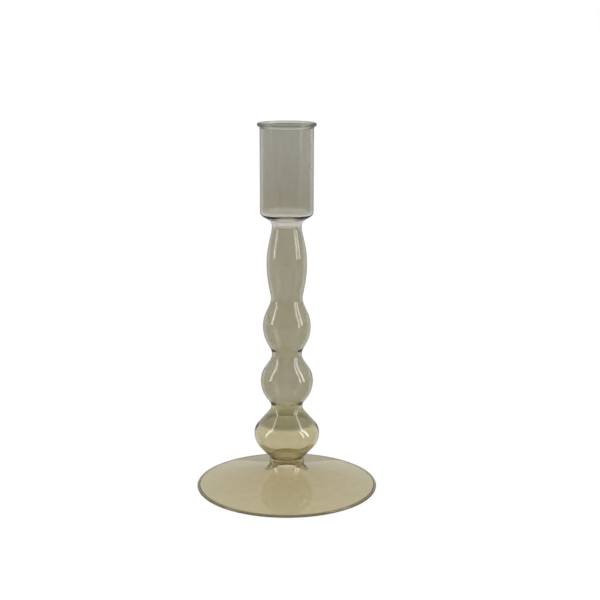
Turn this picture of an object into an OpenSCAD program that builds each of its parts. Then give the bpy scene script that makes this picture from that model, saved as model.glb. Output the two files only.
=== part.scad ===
// Smoky glass candlestick for one dinner candle.
//
// A turned profile stands on a thin domed foot: a short collar, then four hollow
// knops (onion, ball, oval, spindle), a tall straight cup for the candle and a rolled
// lip. Each section is a glassmaker's piece of its own, and neighbours meet face to
// face at the narrowest place between them, where the glass was fused. The z axis is
// the axis of the stem, and z = 0 is the table.

/* [Foot] */
// Diameter of the foot, over its rounded rim
foot_d = 90; // [60:1:130]
// Height of the foot, from the table to the collar
foot_h = 11.9; // [10:0.1:22]
// Thickness of the rounded rim
rim_t = 1.5; // [1.2:0.1:3]
// Width of the flat ring that the foot stands on, under the rim
land_w = 0.6; // [0.4:0.1:1]
// Thickness of the dome where it meets the rim
edge_t = 0.9; // [0.7:0.1:1.3]
// Radius of the flare between the dome and the collar
flare_r = 3.5; // [1:0.1:5]

/* [Collar] */
// Diameter of the collar between the foot and the onion
collar_d = 17.2; // [12:0.1:24]
// Height of the collar
collar_h = 2.8; // [1:0.1:8]
// Glass of the collar, and of the foot's flare under it
collar_t = 1.7; // [1:0.1:4]

/* [Onion knop] */
// Largest diameter of the onion
onion_d = 32.4; // [26:0.1:44]
// Length of the onion, from the collar to its upper neck
onion_h = 27; // [22:0.1:36]
// Height of its widest place above the collar
onion_mid = 13; // [10:0.1:16]
// Glass at its widest place
onion_t = 1.4; // [0.8:0.1:2]
// Curve below the widest place: how full it is, and the neck's share of it
onion_below = [0.81, 0.17]; // [0.1:0.01:0.98]
// Curve above the widest place: how full it is, and the neck's share of it
onion_above = [0.71, 0.38]; // [0.1:0.01:0.98]

/* [Ball knop] */
// Largest diameter of the ball
ball_d = 25.9; // [20:0.1:34]
// Length of the ball, from neck to neck
ball_h = 26.6; // [20:0.1:36]
// Height of its widest place above its lower neck
ball_mid = 12.8; // [8:0.1:16]
// Glass at its widest place
ball_t = 1.4; // [0.8:0.1:2.4]
// Curve below the widest place: how full it is, and the neck's share of it
ball_below = [0.98, 0.23]; // [0.1:0.01:0.98]
// Curve above the widest place: how full it is, and the neck's share of it
ball_above = [0.91, 0.33]; // [0.1:0.01:0.98]

/* [Oval knop] */
// Largest diameter of the oval
oval_d = 23.5; // [19:0.1:32]
// Length of the oval, from neck to neck
oval_h = 28.2; // [20:0.1:40]
// Height of its widest place above its lower neck
oval_mid = 13.9; // [8:0.1:18]
// Glass at its widest place
oval_t = 1.4; // [0.8:0.1:2.4]
// Curve below the widest place: how full it is, and the neck's share of it
oval_below = [0.97, 0.25]; // [0.1:0.01:0.98]
// Curve above the widest place: how full it is, and the neck's share of it
oval_above = [0.9, 0.32]; // [0.1:0.01:0.98]

/* [Spindle knop] */
// Largest diameter of the spindle
spindle_d = 19.8; // [17.8:0.1:28]
// Length of the spindle, from its lower neck to the cup
spindle_h = 35.4; // [26:0.1:50]
// Height of its widest place above its lower neck
spindle_mid = 17; // [10:0.1:24]
// Glass at its widest place
spindle_t = 1.5; // [0.8:0.1:2.4]
// Curve below the widest place: how full it is, and the neck's share of it
spindle_below = [0.96, 0.12]; // [0.1:0.01:0.98]
// Curve above the widest place: how full it is, and the neck's share of it
spindle_above = [0.92, 0.22]; // [0.1:0.01:0.98]

/* [Necks] */
// Diameter of the neck between the onion and the ball
onion_neck_d = 15.6; // [10:0.1:18.8]
// Diameter of the neck between the ball and the oval
ball_neck_d = 14.8; // [10:0.1:18.8]
// Diameter of the neck between the oval and the spindle
oval_neck_d = 15.6; // [10:0.1:17.4]
// Diameter of the neck between the spindle and the cup
cup_neck_d = 14.5; // [10:0.1:17.4]
// Glass at every neck
neck_t = 1.6; // [1:0.1:2.8]

/* [Candle cup] */
// Diameter of the candle
candle_d = 22; // [18:0.1:28]
// Gap around the candle
candle_gap = 0.5; // [0.1:0.1:0.5]
// Glass of the cup's side
cup_t = 1.5; // [1:0.1:2.6]
// Length of the cup, from its neck to its lip
cup_h = 47.9; // [30:0.1:70]
// Height of the shoulder's round corner above the neck
shoulder_h = 7.3; // [6:0.1:10]
// Curve of the shoulder: how full it is, and the neck's share of it
shoulder_curve = [0.91, 0.57]; // [0.1:0.01:0.95]

/* [Lip] */
// Height of the rolled lip's bead
lip_bead = 2; // [1.7:0.1:2.4]
// How far the lip stands out from the cup's side
lip_out = 1.3; // [1.1:0.1:2.4]
// Radius under the lip
lip_fillet_r = 0.8; // [0.6:0.1:1.5]

/* [Hidden] */

// Colours of the glass, from the warm foot to the greyer cup
foot_glass = [0.66, 0.62, 0.46, 0.55];
stem_glass = [0.62, 0.61, 0.49, 0.55];
cup_glass = [0.6, 0.59, 0.53, 0.55];

// Facets of a full turn, and degrees between the points of an arc
turn_facets = 96;
arc_step = 5;

// Heights of the seams, from the table up
collar_z = foot_h;
onion_z = collar_z + collar_h;
ball_z = onion_z + onion_h;
oval_z = ball_z + ball_h;
spindle_z = oval_z + oval_h;
cup_z = spindle_z + spindle_h;
lip_z = cup_z + cup_h;

// Radii of the cup, inside and outside
bore_r = candle_d / 2 + candle_gap;
cup_r = bore_r + cup_t;

// Radius of the lip's inside edge
lip_edge_r = 0.8;

// The lip's bead and the fillet under it are two circles that touch at the seam
bead_r = lip_bead / 2;
lip_lean = acos((lip_fillet_r - lip_out + bead_r) / (lip_fillet_r + bead_r));
bead_centre = [cup_r + lip_out - bead_r, lip_z + bead_r * sin(lip_lean)];
lip_top_z = bead_centre[1] + bead_r;

// Points of an arc around a centre, from one angle to another
function arc(centre, r, from, to) =
    let(count = max(2, ceil(abs(to - from) / arc_step)))
    [for (i = [0:count]) let(a = from + (to - from) * i / count)
        centre + r * [cos(a), sin(a)]];

function backwards(points) = [for (i = [len(points) - 1:-1:0]) points[i]];

// The same points, each only once where two arcs meet
function joined(points) =
    [for (i = [0:len(points) - 1])
        if (i == 0 || norm(points[i] - points[i - 1]) > 0.001) points[i]];

// Angle on a neck's circle, outside the glass, at which its common tangent with a
// knop's circle, inside the glass, leaves it. The side is 1 if the knop is the higher.
function leave_angle(neck_centre, neck_r, knop_centre, knop_r, side) =
    let(span = knop_centre - neck_centre)
    atan2(span[1], span[0]) + side * acos((neck_r + knop_r) / norm(span));

// Outline from a neck to the widest place of a knop: arc, straight tangent, arc.
// Both places are [radius, height], and the outline is upright at both.
function swell(neck, neck_r, knop, knop_r) =
    let(
        side = knop[1] > neck[1] ? 1 : -1,
        neck_centre = neck + [neck_r, 0],
        knop_centre = knop - [knop_r, 0],
        leave = leave_angle(neck_centre, neck_r, knop_centre, knop_r, side)
    )
    concat(
        arc(neck_centre, neck_r, 180 * side, leave),
        arc(knop_centre, knop_r, leave - 180 * side, 0)
    );

// Radii of the neck's and the knop's arc from a curve [fullness, neck's share]: at a
// fullness of 1 the two arcs would meet with no straight tangent between them.
function curve_radii(neck, knop, curve) =
    let(out = knop[0] - neck[0], up = knop[1] - neck[1])
    curve[0] * (up * up + out * out) / (2 * out) * [curve[1], 1 - curve[1]];

function full_swell(neck, knop, curve) =
    let(radii = curve_radii(neck, knop, curve))
    swell(neck, radii[0], knop, radii[1]);

// Outline of a knop from its lower neck to its upper one
function knop_outline(low, mid, high, below, above) =
    concat(full_swell(low, mid, below), backwards(full_swell(high, mid, above)));

// A closed half section turned round the stem's axis
module turned(outline) {
    rotate_extrude($fn = turn_facets)
        polygon(joined(outline));
}

// A hollow knop, open at both necks. The three places are [radius, height], and the
// glass is given for each of them.
module open_knop(low, mid, high, low_t, mid_t, high_t, below, above) {
    turned(concat(
        knop_outline(low, mid, high, below, above),
        backwards(knop_outline(
            low - [low_t, 0], mid - [mid_t, 0], high - [high_t, 0], below, above
        ))
    ));
}

module foot() {
    rim_r = rim_t / 2;
    land_half = asin(land_w / rim_t);
    rim_centre = [foot_d / 2 - rim_r, rim_r * cos(land_half)];
    flare_centre = [collar_d / 2 + flare_r, foot_h];
    // The underside is an arc round the flare and a straight slope. The slope comes out
    // of the rim's circle, where the dome is as thick as its edge.
    under_r = flare_r + collar_t;
    leave = leave_angle(flare_centre, under_r, rim_centre, rim_r - edge_t, -1);
    rim_start = leave - 90 + asin(edge_t / rim_r - 1);
    color(foot_glass)
        turned(concat(
            arc(flare_centre, under_r, -180, leave),
            arc(rim_centre, rim_r, rim_start, -90 - land_half),
            arc(rim_centre, rim_r, land_half - 90, 0),
            backwards(swell([collar_d / 2, foot_h], flare_r,
                            [foot_d / 2, rim_centre[1]], rim_r))
        ));
}

module foot_collar() {
    color(foot_glass)
        translate([0, 0, collar_z])
            difference() {
                cylinder(h = collar_h, d = collar_d, $fn = turn_facets);
                translate([0, 0, -1])
                    cylinder(h = collar_h + 2, d = collar_d - 2 * collar_t, $fn = turn_facets);
            }
}

module onion_knop() {
    color(foot_glass)
        open_knop(
            [collar_d / 2, onion_z], [onion_d / 2, onion_z + onion_mid], [onion_neck_d / 2, ball_z],
            collar_t, onion_t, neck_t, onion_below, onion_above
        );
}

module ball_knop() {
    color(stem_glass)
        open_knop(
            [onion_neck_d / 2, ball_z], [ball_d / 2, ball_z + ball_mid], [ball_neck_d / 2, oval_z],
            neck_t, ball_t, neck_t, ball_below, ball_above
        );
}

module oval_knop() {
    color(stem_glass)
        open_knop(
            [ball_neck_d / 2, oval_z], [oval_d / 2, oval_z + oval_mid], [oval_neck_d / 2, spindle_z],
            neck_t, oval_t, neck_t, oval_below, oval_above
        );
}

module spindle_knop() {
    color(stem_glass)
        open_knop(
            [oval_neck_d / 2, spindle_z], [spindle_d / 2, spindle_z + spindle_mid],
            [cup_neck_d / 2, cup_z], neck_t, spindle_t, neck_t, spindle_below, spindle_above
        );
}

module candle_cup() {
    neck = [cup_neck_d / 2, cup_z];
    shoulder = [cup_r, cup_z + shoulder_h];
    radii = curve_radii(neck, shoulder, shoulder_curve);
    fillet_centre = [cup_r + lip_fillet_r, lip_z - lip_fillet_r * sin(lip_lean)];
    color(cup_glass)
        turned(concat(
            swell(neck, radii[0], shoulder, radii[1]),
            arc(fillet_centre, lip_fillet_r, 180, 180 - lip_lean),
            [[bore_r, lip_z]],
            backwards(swell(neck - [neck_t, 0], radii[0] + neck_t,
                            shoulder - [cup_t, 0], radii[1] - cup_t))
        ));
}

module lip_ring() {
    color(cup_glass)
        turned(concat(
            [[bore_r, lip_z]],
            arc(bead_centre, bead_r, -lip_lean, 90),
            arc([bore_r + lip_edge_r, lip_top_z - lip_edge_r], lip_edge_r, 90, 180)
        ));
}

foot();
foot_collar();
onion_knop();
ball_knop();
oval_knop();
spindle_knop();
candle_cup();
lip_ring();
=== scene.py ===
"""Smoky glass candlestick: eight pieces of turned glass around the CAD frame, in a studio.

Every piece takes its half outline from its CAD node. The outline is made smooth, and a
Geometry Nodes tree turns it round the stem's axis. Neighbouring pieces are fused in the
real object, so the faces where they meet are marked, and the glass is see-through there.
"""

import math
from functools import partial

import bmesh
import bpy
from bpy.props import (
    FloatProperty,
    FloatVectorProperty,
    IntProperty,
    PointerProperty,
)
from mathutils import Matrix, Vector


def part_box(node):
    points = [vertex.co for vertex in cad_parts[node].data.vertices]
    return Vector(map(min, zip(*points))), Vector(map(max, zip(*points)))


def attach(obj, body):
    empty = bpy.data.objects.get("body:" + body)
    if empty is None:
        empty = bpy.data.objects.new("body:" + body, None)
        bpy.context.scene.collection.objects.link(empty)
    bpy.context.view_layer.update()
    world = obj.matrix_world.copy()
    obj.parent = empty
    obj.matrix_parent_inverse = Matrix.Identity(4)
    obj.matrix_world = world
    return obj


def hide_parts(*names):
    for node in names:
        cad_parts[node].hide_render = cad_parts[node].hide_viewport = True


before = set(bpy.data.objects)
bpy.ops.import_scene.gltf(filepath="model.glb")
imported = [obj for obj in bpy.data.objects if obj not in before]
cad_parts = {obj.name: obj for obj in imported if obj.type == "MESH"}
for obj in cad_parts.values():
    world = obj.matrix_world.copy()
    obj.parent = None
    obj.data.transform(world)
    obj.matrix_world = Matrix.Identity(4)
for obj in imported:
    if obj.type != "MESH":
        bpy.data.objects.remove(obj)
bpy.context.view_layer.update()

bl_info = {
    "name": "Glass Candlestick",
    "version": (1, 0, 0),
    "blender": (4, 5, 0),
    "location": "3D View > Sidebar > Candlestick",
    "description": "Makes a smoky glass candlestick from turned pieces, and its studio",
    "category": "Add Mesh",
}

MM = 0.001
MICRON = 1e-6
# Name of the mark on the faces where two pieces are fused
FUSED = "fused"

# Share of the tint that is in the skin of the glass, for a wall of this many millimetres
SKIN = 0.72
WALL = 1.5

# Each piece: the CAD node it replaces, and the node's material slot
PIECES = {
    "domed_foot": ("foot", "foot_glass"),
    "stem_collar": ("foot_collar", "foot_glass"),
    "onion_bulb": ("onion_knop", "foot_glass"),
    "ball_bulb": ("ball_knop", "stem_glass"),
    "oval_bulb": ("oval_knop", "stem_glass"),
    "spindle_bulb": ("spindle_knop", "stem_glass"),
    "cup_wall": ("candle_cup", "cup_glass"),
    "rolled_lip": ("lip_ring", "cup_glass"),
}

# How the glass's tint is changed over a piece: by its height or its radius, places as shares of
# the whole, and there the shade that its tint is multiplied by.
# On the foot, the onion and the lip this is painted shade and painted reflection; the cup is only
# made lighter at its shoulder and a little darker above it.
EVEN_SHADE = ("height", ((0.0, (1.0, 1.0, 1.0)),))
SHADES = {
    # Foot: a dark line on the outer edge of the rim bead, painted shade where the glass's edge
    # looks dark
    "domed_foot": (
        "radius",
        ((0.0, (1.0, 1.0, 1.0)), (0.983, (1.0, 1.0, 1.0)), (0.992, (0.18, 0.18, 0.15))),
    ),
    # Onion: a darker band over the upper part, a painted reflection of the dark room in front;
    # below it the light tint is left, a painted reflection of the bright foot
    "onion_bulb": (
        "height",
        (
            (0.64, (1.0, 1.0, 1.0)),
            (0.7, (0.53, 0.53, 0.5)),
            (0.82, (0.58, 0.58, 0.53)),
            (0.97, (0.95, 0.97, 0.9)),
        ),
    ),
    # Cup: lighter at the shoulder, a little darker and browner just above it, and even again
    # towards the top
    "cup_wall": (
        "height",
        (
            (0.12, (1.3, 1.3, 1.35)),
            (0.18, (0.94, 0.92, 0.88)),
            (0.9, (1.0, 1.0, 1.0)),
        ),
    ),
    # Lip: the lower band is darker, a painted reflection on the lip's front
    "rolled_lip": (
        "height",
        ((0.3, (0.38, 0.38, 0.34)), (0.6, (1.0, 1.0, 1.0))),
    ),
}


# Outlines: a run this many times longer than its neighbour is straight, not part of an arc
LONG_RUN = 2.5
# A run is cut this far from a seam too, in metres, if it is longer than the last length
SEAM_CUTS = (0.04 * MM, 0.15 * MM)
SHORTEST_CUT_RUN = 0.2 * MM
# Steps on a fused face are this many times longer, as nothing is seen of it
FUSED_STEP = 4
# Edges that turn more than this are shaded hard
HARD_EDGE = math.radians(30)

# Finish of the glass. Noise scales are for metres, and pairs are low and high ends.
CORD_SCALE = 260.0
CORD_STRETCH = 0.12
CORD_NOISE = (0.35, 0.65)
CORD_SHADE = (0.955, 1.0)
RIPPLE_SCALE = 90.0
RIPPLE_DEPTH = 0.00006
HAZE_SCALE = 45.0
HAZE_NOISE = (0.4, 0.7)
HAZE_ROUGHNESS = (0.015, 0.05)
# The volume's density is this many times its strongest absorption
DENSITY_ROOM = 1.05

# The table, in metres. It lies just under the part, clear of the foot's flat ring.
TABLE_SIDE = 2.5
TABLE_FRONT = -0.85
TABLE_BACK = 4.0
TABLE_DROP = 0.00002
TABLE_COLOUR = (0.18, 0.18, 0.18, 1)
TABLE_ROUGHNESS = 0.9
# Shares of the table's light that the glass mirrors in front and behind, and where they meet
MIRRORED_SHARES = (0.05, 0.3)
MIRRORED_EDGE = (-0.14, -0.10)

# The studio that the glass mirrors, in degrees: low end, high end and softness. Azimuth is 0
# towards the camera and grows to the right, and elevation is 0 at eye level.
ROOM_AZIMUTH = (-71, 59, 2)
ROOM_ELEVATION = (-40, 64, 3)
# Brightness of the white round the room, the share of it that the room takes away, and how
# much less it takes from light that was mirrored inside the glass
WALL_LIGHT = 0.65
ROOM_DARKNESS = 0.97
INSIDE_GAIN = 0.75
BOX_ELEVATION = (-3, 50, 3)
BOX_SOFTNESS = 1.5
# Soft boxes: low end and high end of azimuth, and strength
BOXES = ((58, 65, 6.0), (76, 85, 6.5), (-82, -74, 6.5))

# Camera: sensor in millimetres, shift of the lens in sensor widths, near clip in metres
SENSOR_WIDTH = 36.0
LENS_SHIFT = (0.022, 0.0013)
NEAR_CLIP = 0.01


# Settings that a user would change


def tint_property(name, colour):
    """The tint of one piece's glass"""
    return FloatVectorProperty(
        name=name,
        description="Share of red, green and blue light that 1 mm of this glass lets through",
        subtype="COLOR",
        size=3,
        min=0.01,
        max=0.99,
        default=colour,
    )


class TurningSettings(bpy.types.PropertyGroup):
    """How the outlines are turned into glass"""

    segments: IntProperty(
        name="Segments",
        description="Faces around a full turn",
        default=160,
        min=48,
        max=256,
    )
    step: FloatProperty(
        name="Step",
        description="Longest step along an outline, in millimetres",
        default=0.5,
        min=0.2,
        max=2.0,
    )
    corner: FloatProperty(
        name="Corner",
        description="An outline that turns more than this keeps a sharp corner",
        subtype="ANGLE",
        default=math.radians(24),
        min=math.radians(10),
        max=math.radians(60),
    )
    seam_gap: FloatProperty(
        name="Seam Gap",
        description="Gap left between two fused pieces, in millimetres",
        default=0.012,
        min=0.001,
        max=0.1,
    )
    wave_height: FloatProperty(
        name="Wave Height",
        description="How far the hand-worked glass strays from a true turning, in millimetres",
        default=0.06,
        min=0.0,
        max=0.3,
    )
    wave_length: FloatProperty(
        name="Wave Length",
        description="Typical length of those waves, in millimetres",
        default=22.0,
        min=5.0,
        max=80.0,
    )
    wave_seed: IntProperty(
        name="Wave Seed",
        description="Picks one set of waves",
        default=7,
        min=0,
        max=999,
    )


class GlassSettings(bpy.types.PropertyGroup):
    """Tints and finish of the glass"""

    foot_tint: tint_property("Foot", (0.65, 0.595, 0.42))
    collar_tint: tint_property("Collar", (0.74, 0.70, 0.56))
    # The onion's tint is lighter than its neighbours' so that its lower part stays light, a
    # painted reflection of the bright foot; SHADES darkens its upper part
    onion_tint: tint_property("Onion", (0.79, 0.76, 0.64))
    ball_tint: tint_property("Ball", (0.70, 0.68, 0.60))
    oval_tint: tint_property("Oval", (0.70, 0.68, 0.60))
    spindle_tint: tint_property("Spindle", (0.705, 0.69, 0.62))
    cup_tint: tint_property("Cup", (0.71, 0.705, 0.665))
    lip_tint: tint_property("Lip", (0.78, 0.78, 0.75))
    ior: FloatProperty(
        name="IOR",
        description="Refractive index of the glass",
        default=1.5,
        min=1.4,
        max=1.7,
    )


class StudioSettings(bpy.types.PropertyGroup):
    """Camera, floor and light"""

    camera_distance: FloatProperty(
        name="Camera Distance",
        description="Level distance from the stem's axis to the camera",
        subtype="DISTANCE",
        unit="LENGTH",
        default=0.600,
        min=0.3,
        max=5.0,
    )
    camera_height: FloatProperty(
        name="Camera Height",
        description="Height of the camera above the floor",
        subtype="DISTANCE",
        unit="LENGTH",
        default=0.2231,
        min=0.0,
        max=2.0,
    )
    aim_height: FloatProperty(
        name="Aim Height",
        description="Height on the stem's axis that the camera looks at",
        subtype="DISTANCE",
        unit="LENGTH",
        default=0.095,
        min=0.0,
        max=1.0,
    )
    lens: FloatProperty(
        name="Lens",
        description="Focal length in millimetres, on a 36 mm sensor",
        default=75.16,
        min=20.0,
        max=200.0,
    )
    floor_light: FloatProperty(
        name="Floor Light",
        description="Light that the pale table gives by itself",
        default=0.84,
        min=0.0,
        max=1.5,
    )


# Outlines


def corner_turn(before, here, after):
    """How much a line through three points turns at the middle one, in radians"""
    a = math.atan2(here[1] - before[1], here[0] - before[0])
    b = math.atan2(after[1] - here[1], after[0] - here[0])
    return abs((b - a + math.pi) % (2 * math.pi) - math.pi)


def seam_points(mesh):
    """Points (radius, height), in micrometres, where the node's mesh crosses the half plane
    y = 0, x > 0, and the neighbours of each along the section"""
    places = {}
    for v in mesh.vertices:
        if abs(v.co.y) < MICRON / 10 and v.co.x > 0:
            places[v.index] = (round(v.co.x / MICRON), round(v.co.z / MICRON))
    links = {place: set() for place in places.values()}
    for e in mesh.edges:
        a, b = (places.get(i) for i in e.vertices)
        if a is not None and b is not None and a != b:
            links[a].add(b)
            links[b].add(a)
    return links


def half_outline(node):
    """Outline of a turned CAD node: an anticlockwise loop of points in metres, in the half
    plane"""
    links = seam_points(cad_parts[node].data)
    if any(len(near) != 2 for near in links.values()):
        raise RuntimeError(f"the outline of {node} isn't closed")
    start = min(links)
    order = [start, min(links[start])]
    while True:
        (ahead,) = links[order[-1]] - {order[-2]}
        if ahead == start:
            break
        order.append(ahead)
    if len(order) != len(links):
        raise RuntimeError(f"the outline of {node} isn't one line")
    points = [(r * MICRON, z * MICRON) for r, z in order]
    area = sum(a[0] * b[1] - b[0] * a[1] for a, b in zip(points, points[1:] + points[:1]))
    return points if area > 0 else points[:1] + points[:0:-1]


def seam_heights(node):
    """Heights at which the node meets another one"""
    low, high = (corner.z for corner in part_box(node))
    others = [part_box(other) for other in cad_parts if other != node]
    return [
        z
        for z, side in ((low, 1), (high, 0))
        if any(abs(z - box[side].z) < MICRON for box in others)
    ]


def tangents(points, corner):
    """Direction of the smooth loop at each point, before it and after it. The two differ
    where the outline turns more than a corner does."""
    count = len(points)
    steps = []
    for i, a in enumerate(points):
        b = points[(i + 1) % count]
        length = math.dist(a, b)
        steps.append(((b[0] - a[0]) / length, (b[1] - a[1]) / length, length))
    result = []
    for i, here in enumerate(points):
        before, after = steps[i - 1], steps[i]
        if corner_turn(points[i - 1], here, points[(i + 1) % count]) > corner:
            result.append((before[:2], after[:2]))
            continue
        # A long straight run keeps its own direction; otherwise the circle through three points
        if before[2] > LONG_RUN * after[2]:
            weights = (1.0, 0.0)
        elif after[2] > LONG_RUN * before[2]:
            weights = (0.0, 1.0)
        else:
            weights = (after[2], before[2])
        x = before[0] * weights[0] + after[0] * weights[1]
        z = before[1] * weights[0] + after[1] * weights[1]
        size = math.hypot(x, z)
        result.append(((x / size, z / size), (x / size, z / size)))
    return result


def smooth_outline(node, turning):
    """The outline with its arcs made smooth and its long runs cut into short steps, and for
    each step whether it is a fused face. The first point comes again at the end, and fused
    faces stand back by half the seam gap."""
    points = half_outline(node)
    seams = seam_heights(node)
    directions = tangents(points, turning.corner)
    line, fused = [], []
    for i, (x0, z0) in enumerate(points):
        after = (i + 1) % len(points)
        x1, z1 = points[after]
        seam = any(abs(z0 - s) < MICRON and abs(z1 - s) < MICRON for s in seams)
        length = math.dist(points[i], points[after])
        (ax, az), (bx, bz) = directions[i][1], directions[after][0]
        for t in step_places(length, turning, seam, (z0, z1), seams)[:-1]:
            # A cubic curve from point to point that leaves and arrives along the directions
            h1, h2 = t**3 - 2 * t**2 + t, t**3 - t**2
            s = 3 * t**2 - 2 * t**3
            x = x0 + (x1 - x0) * s + length * (h1 * ax + h2 * bx)
            z = z0 + (z1 - z0) * s + length * (h1 * az + h2 * bz)
            line.append((x, z))
            fused.append(seam)
    line.append(points[0])
    fused.append(False)
    middle = sum(corner.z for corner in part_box(node)) / 2
    half_gap = turning.seam_gap * MM / 2
    pulled = []
    for x, z in line:
        for s in seams:
            if abs(z - s) < half_gap:
                z = s + (half_gap if s < middle else -half_gap)
        pulled.append((x, z))
    return pulled, fused


def step_places(length, turning, seam, heights, seams):
    """Shares of a straight run at which it is cut, from 0 to 1, closer together at a seam"""
    step = turning.step * MM * (FUSED_STEP if seam else 1)
    pieces = max(1, math.ceil(length / step))
    places = [i / pieces for i in range(pieces + 1)]
    if not seam and length > SHORTEST_CUT_RUN:
        for s in seams:
            if abs(heights[0] - s) < MICRON:
                places += [cut / length for cut in SEAM_CUTS]
            if abs(heights[1] - s) < MICRON:
                places += [1 - cut / length for cut in SEAM_CUTS]
    return sorted(set(places))


def outline_object(name, line, fused):
    """A mesh of the outline's points, with each step's mark in an attribute"""
    mesh = bpy.data.meshes.new(name)
    mesh.from_pydata(
        [(x, 0.0, z) for x, z in line],
        [(i, i + 1) for i in range(len(line) - 1)],
        [],
    )
    marks = mesh.attributes.new(FUSED, "FLOAT", "POINT")
    marks.data.foreach_set("value", [1.0 if f else 0.0 for f in fused])
    ob = bpy.data.objects.new(name, mesh)
    bpy.context.scene.collection.objects.link(ob)
    return ob


# Nodes


def maths_node(tree, operation, *values):
    """The output of a Math node that takes numbers or other nodes' outputs"""
    node = tree.nodes.new("ShaderNodeMath")
    node.operation = operation
    for i, value in enumerate(values):
        if isinstance(value, (int, float)):
            node.inputs[i].default_value = value
        else:
            tree.links.new(value, node.inputs[i])
    return node.outputs[0]


def noise_node(tree, vector, scale, detail):
    """The output of a noise over the given places"""
    node = tree.nodes.new("ShaderNodeTexNoise")
    node.inputs["Scale"].default_value = scale
    node.inputs["Detail"].default_value = detail
    tree.links.new(vector, node.inputs["Vector"])
    return node.outputs[0]


def range_node(tree, value, source, result, interpolation="LINEAR"):
    """The output of a Map Range node from one pair of ends to another"""
    node = tree.nodes.new("ShaderNodeMapRange")
    node.interpolation_type = interpolation
    tree.links.new(value, node.inputs["Value"])
    node.inputs["From Min"].default_value, node.inputs["From Max"].default_value = source
    node.inputs["To Min"].default_value, node.inputs["To Max"].default_value = result
    return node.outputs[0]


def mix_node(tree, factor, a, b):
    """The output of a Mix node between a number and another node's output"""
    node = tree.nodes.new("ShaderNodeMix")
    node.data_type = "FLOAT"
    tree.links.new(factor, node.inputs["Factor"])
    node.inputs["A"].default_value = a
    tree.links.new(b, node.inputs["B"])
    return node.outputs["Result"]


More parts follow.
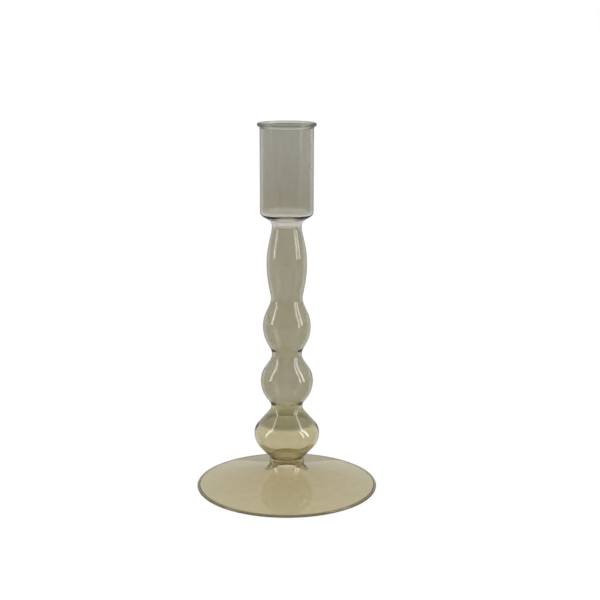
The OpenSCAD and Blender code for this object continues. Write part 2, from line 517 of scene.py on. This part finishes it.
def turned_glass_tree():
    """Turns the points of an outline mesh round the z axis into a closed skin of glass"""
    tree = bpy.data.node_groups.new("Turned Glass", "GeometryNodeTree")
    tree.is_modifier = True
    for name, kind in (
        ("Outline", "NodeSocketGeometry"),
        ("Segments", "NodeSocketInt"),
        ("Rows", "NodeSocketInt"),
        ("Wave Height", "NodeSocketFloat"),
        ("Wave Length", "NodeSocketFloat"),
        ("Wave Seed", "NodeSocketInt"),
        ("Glass", "NodeSocketMaterial"),
    ):
        tree.interface.new_socket(name=name, in_out="INPUT", socket_type=kind)
    tree.interface.new_socket(
        name="Geometry", in_out="OUTPUT", socket_type="NodeSocketGeometry"
    )

    maths = partial(maths_node, tree)
    nodes, links = tree.nodes, tree.links

    def add(kind, **settings):
        node = nodes.new(kind)
        for key, value in settings.items():
            setattr(node, key, value)
        return node

    given = add("NodeGroupInput").outputs
    result = add("NodeGroupOutput")

    # A flat grid with a column for each segment and a row for each point of the outline
    last_row = maths("SUBTRACT", given["Rows"], 1)
    grid = add("GeometryNodeMeshGrid")
    links.new(given["Segments"], grid.inputs["Size X"])
    links.new(last_row, grid.inputs["Size Y"])
    links.new(maths("ADD", given["Segments"], 1), grid.inputs["Vertices X"])
    links.new(given["Rows"], grid.inputs["Vertices Y"])
    place = add("ShaderNodeSeparateXYZ")
    links.new(add("GeometryNodeInputPosition").outputs[0], place.inputs[0])
    row = maths("ADD", place.outputs["Y"], maths("DIVIDE", last_row, 2))

    # Each strip of faces takes the mark of its step
    mark = add("GeometryNodeInputNamedAttribute", data_type="FLOAT")
    mark.inputs["Name"].default_value = FUSED
    step_mark = add("GeometryNodeSampleIndex", data_type="FLOAT", domain="POINT")
    links.new(given["Outline"], step_mark.inputs["Geometry"])
    links.new(mark.outputs["Attribute"], step_mark.inputs["Value"])
    links.new(maths("FLOOR", row), step_mark.inputs["Index"])
    store = add("GeometryNodeStoreNamedAttribute", data_type="FLOAT", domain="FACE")
    store.inputs["Name"].default_value = FUSED
    links.new(grid.outputs["Mesh"], store.inputs["Geometry"])
    links.new(step_mark.outputs[0], store.inputs["Value"])

    # Each point of the grid goes to its outline point, turned by its column
    outline_point = add(
        "GeometryNodeSampleIndex", data_type="FLOAT_VECTOR", domain="POINT"
    )
    links.new(given["Outline"], outline_point.inputs["Geometry"])
    links.new(
        add("GeometryNodeInputPosition").outputs[0], outline_point.inputs["Value"]
    )
    links.new(maths("ROUND", row), outline_point.inputs["Index"])
    section = add("ShaderNodeSeparateXYZ")
    links.new(outline_point.outputs[0], section.inputs[0])
    turn = maths(
        "MULTIPLY", maths("DIVIDE", place.outputs["X"], given["Segments"]), 2 * math.pi
    )
    cosine, sine = maths("COSINE", turn), maths("SINE", turn)

    def turned(radius):
        out = add("ShaderNodeCombineXYZ")
        links.new(maths("MULTIPLY", radius, cosine), out.inputs["X"])
        links.new(maths("MULTIPLY", radius, sine), out.inputs["Y"])
        links.new(section.outputs["Z"], out.inputs["Z"])
        return out.outputs[0]

    # Slow waves make the turning look worked by hand, alike inside and outside a wall
    wave = add("ShaderNodeTexNoise", noise_dimensions="4D")
    links.new(turned(section.outputs["X"]), wave.inputs["Vector"])
    links.new(given["Wave Seed"], wave.inputs["W"])
    links.new(maths("DIVIDE", 1, given["Wave Length"]), wave.inputs["Scale"])
    wave.inputs["Detail"].default_value = 1.0
    height = maths(
        "MULTIPLY", maths("SUBTRACT", wave.outputs[0], 0.5), given["Wave Height"]
    )
    radius = maths("ADD", section.outputs["X"], height)
    move = add("GeometryNodeSetPosition")
    links.new(store.outputs["Geometry"], move.inputs["Geometry"])
    links.new(turned(radius), move.inputs["Position"])

    weld = add("GeometryNodeMergeByDistance")
    weld.inputs["Distance"].default_value = MICRON
    links.new(move.outputs["Geometry"], weld.inputs["Geometry"])

    # Smooth faces, with a hard edge where the skin turns sharply
    soft = add("GeometryNodeSetShadeSmooth", domain="FACE")
    links.new(weld.outputs["Geometry"], soft.inputs["Geometry"])
    edge = add("GeometryNodeInputMeshEdgeAngle")
    hard = add("GeometryNodeSetShadeSmooth", domain="EDGE")
    hard.inputs["Shade Smooth"].default_value = False
    links.new(soft.outputs["Geometry"], hard.inputs["Geometry"])
    links.new(
        maths("GREATER_THAN", edge.outputs["Unsigned Angle"], HARD_EDGE),
        hard.inputs["Selection"],
    )
    realize = add("GeometryNodeRealizeInstances")
    links.new(hard.outputs["Geometry"], realize.inputs["Geometry"])
    paint = add("GeometryNodeSetMaterial")
    links.new(realize.outputs["Geometry"], paint.inputs["Geometry"])
    links.new(given["Glass"], paint.inputs["Material"])
    links.new(paint.outputs["Geometry"], result.inputs["Geometry"])
    return tree


def turned_glass(name, node, glass):
    """A plain mesh of one piece, turned from its CAD node's outline"""
    turning = bpy.context.scene.candlestick_turning
    tree = bpy.data.node_groups.get("Turned Glass") or turned_glass_tree()
    line, fused = smooth_outline(node, turning)
    source = outline_object(name + "_outline", line, fused)
    modifier = source.modifiers.new("Turned Glass", "NODES")
    modifier.node_group = tree
    # The noise strays by half of its range to either side, so its range is twice the waves
    values = {
        "Segments": turning.segments,
        "Rows": len(line),
        "Wave Height": turning.wave_height * MM * 2,
        "Wave Length": turning.wave_length * MM,
        "Wave Seed": turning.wave_seed,
        "Glass": glass,
    }
    for item in tree.interface.items_tree:
        if item.item_type == "SOCKET" and item.name in values:
            modifier[item.identifier] = values[item.name]
    graph = bpy.context.evaluated_depsgraph_get()
    graph.update()
    mesh = bpy.data.meshes.new_from_object(source.evaluated_get(graph), depsgraph=graph)
    bpy.data.objects.remove(source)
    mesh.name = name
    check = bmesh.new()
    check.from_mesh(mesh)
    volume = check.calc_volume(signed=True)
    loose = sum(1 for e in check.edges if len(e.link_faces) != 2)
    check.free()
    if volume <= 0 or loose:
        raise RuntimeError(f"{name} isn't a closed skin: {volume}, {loose} open edges")
    piece = bpy.data.objects.new(name, mesh)
    bpy.context.scene.collection.objects.link(piece)
    return piece


# Materials


def shade_colour(tree, position, name, skin):
    """The skin's tint and its change over the piece, on some pieces painted shade and painted
    reflection, with faint cords along the stem
    """
    nodes, links = tree.nodes, tree.links
    maths = partial(maths_node, tree)

    # Cords are streaks of slightly darker glass, drawn out lengthwise
    stretch = nodes.new("ShaderNodeMapping")
    stretch.inputs["Scale"].default_value = (1.0, 1.0, CORD_STRETCH)
    links.new(position, stretch.inputs["Vector"])
    cords = noise_node(tree, stretch.outputs[0], CORD_SCALE, 2.0)

    direction, stops = SHADES.get(name, EVEN_SHADE)
    low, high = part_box(PIECES[name][0])
    split = nodes.new("ShaderNodeSeparateXYZ")
    links.new(position, split.inputs[0])
    x, y, z = split.outputs
    if direction == "height":
        share = maths("DIVIDE", maths("SUBTRACT", z, low.z), high.z - low.z)
    else:
        radius = maths("SQRT", maths("ADD", maths("MULTIPLY", x, x), maths("MULTIPLY", y, y)))
        share = maths("DIVIDE", radius, high.x)
    # The ramp multiplies the tint by the piece's stops in SHADES: painted shade and painted
    # reflection on the foot, the onion and the lip
    ramp = nodes.new("ShaderNodeValToRGB")
    ramp.color_ramp.interpolation = "EASE"
    links.new(share, ramp.inputs[0])
    points = ramp.color_ramp.elements
    while len(points) < len(stops):
        points.new(0.5)
    while len(points) > len(stops):
        points.remove(points[-1])
    for point, (place, shade) in zip(points, stops):
        point.position = place
        point.color = [min(a * b, 1.0) for a, b in zip(shade, skin)] + [1.0]
    mix = nodes.new("ShaderNodeMix")
    mix.data_type = "RGBA"
    mix.blend_type = "MULTIPLY"
    mix.inputs["Factor"].default_value = 1.0
    links.new(ramp.outputs[0], mix.inputs["A"])
    links.new(range_node(tree, cords, CORD_NOISE, CORD_SHADE), mix.inputs["B"])
    return mix.outputs["Result"]


def glass_material(name, tint, ior):
    """Clear tinted glass. The tint is what 1 mm of it lets through."""
    material = bpy.data.materials.new(name + "_glass")
    material.use_nodes = True
    tree = material.node_tree
    nodes, links = tree.nodes, tree.links
    nodes.clear()
    output = nodes.new("ShaderNodeOutputMaterial")
    surface = nodes.new("ShaderNodeBsdfPrincipled")
    surface.inputs["IOR"].default_value = ior
    surface.inputs["Transmission Weight"].default_value = 1.0
    links.new(surface.outputs[0], output.inputs["Surface"])
    position = nodes.new("ShaderNodeTexCoord").outputs["Object"]

    # Most of a wall's tint is in its skin, which the exported model keeps
    skin = [share ** (SKIN * WALL) for share in tint]
    # The skin's colour also carries the painted shade and painted reflection of SHADES
    links.new(shade_colour(tree, position, name, skin), surface.inputs["Base Color"])

    # No surface shows where two pieces are fused
    mark = nodes.new("ShaderNodeAttribute")
    mark.attribute_name = FUSED
    clear = maths_node(tree, "SUBTRACT", 1.0, mark.outputs["Fac"])
    links.new(clear, surface.inputs["Alpha"])

    # Soft ripples of blown glass
    bump = nodes.new("ShaderNodeBump")
    bump.inputs["Strength"].default_value = 1.0
    bump.inputs["Distance"].default_value = RIPPLE_DEPTH
    links.new(noise_node(tree, position, RIPPLE_SCALE, 1.5), bump.inputs["Height"])
    links.new(bump.outputs[0], surface.inputs["Normal"])

    # Fire-polished, with a breath of haze in places
    haze = noise_node(tree, position, HAZE_SCALE, 3.0)
    links.new(range_node(tree, haze, HAZE_NOISE, HAZE_ROUGHNESS), surface.inputs["Roughness"])

    # Volume Absorption takes away density times (1 - colour) of the light for each metre
    taken = [-math.log(share) * (1 - SKIN) / MM for share in tint]
    density = max(taken) * DENSITY_ROOM
    volume = nodes.new("ShaderNodeVolumeAbsorption")
    volume.inputs["Color"].default_value = [1 - t / density for t in taken] + [1]
    volume.inputs["Density"].default_value = density
    links.new(volume.outputs[0], output.inputs["Volume"])
    return material


def make_piece(name, tint):
    """One piece of glass, in its CAD node's place"""
    node, slot = PIECES[name]
    glass = glass_material(name, tint, bpy.context.scene.candlestick_glass.ior)
    piece = turned_glass(name, node, glass)
    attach(piece, "root")
    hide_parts(node)


# Operators


class CANDLESTICK_OT_foot(bpy.types.Operator):
    """Makes the thin domed foot"""

    bl_idname = "candlestick.foot"
    bl_label = "Foot"

    def execute(self, context):
        make_piece("domed_foot", context.scene.candlestick_glass.foot_tint)
        return {"FINISHED"}


class CANDLESTICK_OT_collar(bpy.types.Operator):
    """Makes the short collar between the foot and the stem"""

    bl_idname = "candlestick.collar"
    bl_label = "Collar"

    def execute(self, context):
        make_piece("stem_collar", context.scene.candlestick_glass.collar_tint)
        return {"FINISHED"}


class CANDLESTICK_OT_knops(bpy.types.Operator):
    """Makes the four hollow knops of the stem"""

    bl_idname = "candlestick.knops"
    bl_label = "Knops"

    def execute(self, context):
        glass = context.scene.candlestick_glass
        make_piece("onion_bulb", glass.onion_tint)
        make_piece("ball_bulb", glass.ball_tint)
        make_piece("oval_bulb", glass.oval_tint)
        make_piece("spindle_bulb", glass.spindle_tint)
        return {"FINISHED"}


class CANDLESTICK_OT_cup(bpy.types.Operator):
    """Makes the straight cup for the candle"""

    bl_idname = "candlestick.cup"
    bl_label = "Cup"

    def execute(self, context):
        make_piece("cup_wall", context.scene.candlestick_glass.cup_tint)
        return {"FINISHED"}


class CANDLESTICK_OT_lip(bpy.types.Operator):
    """Makes the rolled lip round the cup's mouth"""

    bl_idname = "candlestick.lip"
    bl_label = "Lip"

    def execute(self, context):
        make_piece("rolled_lip", context.scene.candlestick_glass.lip_tint)
        return {"FINISHED"}


class CANDLESTICK_OT_stage(bpy.types.Operator):
    """Makes the pale table, the studio's light and the camera"""

    bl_idname = "candlestick.stage"
    bl_label = "Stage"

    def execute(self, context):
        studio = context.scene.candlestick_studio
        make_floor(studio)
        make_world()
        make_camera(studio)
        context.scene.view_settings.view_transform = "Standard"
        return {"FINISHED"}


def make_floor(studio):
    """A pale table that gives light by itself"""
    mesh = bpy.data.meshes.new("table")
    mesh.from_pydata(
        [
            (-TABLE_SIDE, TABLE_FRONT, 0),
            (TABLE_SIDE, TABLE_FRONT, 0),
            (TABLE_SIDE, TABLE_BACK, 0),
            (-TABLE_SIDE, TABLE_BACK, 0),
        ],
        [],
        [(0, 1, 2, 3)],
    )
    floor = bpy.data.objects.new("table", mesh)
    bpy.context.scene.collection.objects.link(floor)
    floor.location.z = -TABLE_DROP
    material = bpy.data.materials.new("lit_table")
    material.use_nodes = True
    tree = material.node_tree
    nodes, links = tree.nodes, tree.links
    surface = nodes["Principled BSDF"]
    surface.inputs["Base Color"].default_value = TABLE_COLOUR
    surface.inputs["Roughness"].default_value = TABLE_ROUGHNESS
    surface.inputs["Specular IOR Level"].default_value = 0.0
    surface.inputs["Emission Color"].default_value = (1, 1, 1, 1)

    # The glass mirrors a darker table than the camera sees, and darker still in front
    split = nodes.new("ShaderNodeSeparateXYZ")
    links.new(nodes.new("ShaderNodeTexCoord").outputs["Object"], split.inputs[0])
    ends = [share * studio.floor_light for share in MIRRORED_SHARES]
    dark = range_node(tree, split.outputs["Y"], MIRRORED_EDGE, ends, "SMOOTHSTEP")
    path = nodes.new("ShaderNodeLightPath")
    outside = maths_node(tree, "LESS_THAN", path.outputs["Transmission Depth"], 0.5)
    mirrored = maths_node(tree, "MINIMUM", path.outputs["Glossy Depth"], outside)
    light = mix_node(tree, mirrored, studio.floor_light, dark)
    links.new(light, surface.inputs["Emission Strength"])

    # From below, the table is see-through
    below = nodes.new("ShaderNodeNewGeometry").outputs["Backfacing"]
    links.new(maths_node(tree, "SUBTRACT", 1.0, below), surface.inputs["Alpha"])
    mesh.materials.append(material)


def make_world():
    """White all round, and a darker room in front with tall soft boxes in the reflections"""
    world = bpy.data.worlds.new("studio")
    bpy.context.scene.world = world
    world.use_nodes = True
    tree = world.node_tree
    nodes, links = tree.nodes, tree.links
    nodes.clear()
    maths = partial(maths_node, tree)

    def band(value, low, high, soft):
        """1 between low and high, with soft ends, and 0 elsewhere; all in degrees"""
        rise, fall = (
            range_node(tree, value, (edge - soft * sign, edge + soft * sign), (0, 1), "SMOOTHSTEP")
            for edge, sign in ((low, 1), (high, -1))
        )
        return maths("MULTIPLY", rise, fall)

    direction = nodes.new("ShaderNodeSeparateXYZ")
    links.new(nodes.new("ShaderNodeTexCoord").outputs["Generated"], direction.inputs[0])
    x, y, z = direction.outputs
    turn = maths("ARCTAN2", x, maths("MULTIPLY", y, -1))
    azimuth = maths("MULTIPLY", turn, math.degrees(1))
    elevation = maths("MULTIPLY", maths("ARCSINE", z), math.degrees(1))
    room = maths("MULTIPLY", band(azimuth, *ROOM_AZIMUTH), band(elevation, *ROOM_ELEVATION))

    # Light that was mirrored inside the glass finds less of the dark room
    path = nodes.new("ShaderNodeLightPath")
    inside = maths("MINIMUM", path.outputs["Transmission Depth"], 1)
    darkness = maths("SUBTRACT", ROOM_DARKNESS, maths("MULTIPLY", inside, INSIDE_GAIN))
    light = maths("SUBTRACT", 1, maths("MULTIPLY", room, darkness))
    light = maths("MULTIPLY", light, WALL_LIGHT)
    for low, high, strength in BOXES:
        box = maths(
            "MULTIPLY", band(azimuth, low, high, BOX_SOFTNESS), band(elevation, *BOX_ELEVATION)
        )
        light = maths("ADD", light, maths("MULTIPLY", box, strength))
    mirrored = maths("MINIMUM", path.outputs["Glossy Depth"], 1)
    background = nodes.new("ShaderNodeBackground")
    background.inputs["Color"].default_value = (1, 1, 1, 1)
    links.new(mix_node(tree, mirrored, 1.0, light), background.inputs["Strength"])
    output = nodes.new("ShaderNodeOutputWorld")
    links.new(background.outputs[0], output.inputs["Surface"])


def make_camera(studio):
    """A camera in front of the candlestick, looking slightly down"""
    data = bpy.data.cameras.new("camera")
    data.sensor_width = SENSOR_WIDTH
    data.lens = studio.lens
    data.shift_x, data.shift_y = LENS_SHIFT
    data.clip_start = NEAR_CLIP
    camera = bpy.data.objects.new("camera", data)
    bpy.context.scene.collection.objects.link(camera)
    drop = studio.camera_height - studio.aim_height
    tilt = math.atan2(drop, studio.camera_distance)
    camera.location = (0, -studio.camera_distance, studio.camera_height)
    camera.rotation_euler = (math.pi / 2 - tilt, 0, 0)
    bpy.context.scene.camera = camera


class CANDLESTICK_PT_panel(bpy.types.Panel):
    """Lists the steps that make the candlestick"""

    bl_idname = "CANDLESTICK_PT_panel"
    bl_label = "Glass Candlestick"
    bl_space_type = "VIEW_3D"
    bl_region_type = "UI"
    bl_category = "Candlestick"

    def draw(self, context):
        layout = self.layout
        for step in STEPS:
            layout.operator(step.bl_idname)
        for group in ("candlestick_turning", "candlestick_glass", "candlestick_studio"):
            settings = getattr(context.scene, group)
            box = layout.box()
            for key in settings.bl_rna.properties.keys():
                if key not in ("rna_type", "name"):
                    box.prop(settings, key)


STEPS = (
    CANDLESTICK_OT_foot,
    CANDLESTICK_OT_collar,
    CANDLESTICK_OT_knops,
    CANDLESTICK_OT_cup,
    CANDLESTICK_OT_lip,
    CANDLESTICK_OT_stage,
)
CLASSES = (TurningSettings, GlassSettings, StudioSettings, *STEPS, CANDLESTICK_PT_panel)


def register():
    for item in CLASSES:
        bpy.utils.register_class(item)
    scene = bpy.types.Scene
    scene.candlestick_turning = PointerProperty(type=TurningSettings)
    scene.candlestick_glass = PointerProperty(type=GlassSettings)
    scene.candlestick_studio = PointerProperty(type=StudioSettings)


def unregister():
    scene = bpy.types.Scene
    del scene.candlestick_studio
    del scene.candlestick_glass
    del scene.candlestick_turning
    for item in reversed(CLASSES):
        bpy.utils.unregister_class(item)


def main():
    register()
    bpy.ops.candlestick.foot()
    bpy.ops.candlestick.collar()
    bpy.ops.candlestick.knops()
    bpy.ops.candlestick.cup()
    bpy.ops.candlestick.lip()
    bpy.ops.candlestick.stage()


if __name__ == "__main__":
    main()
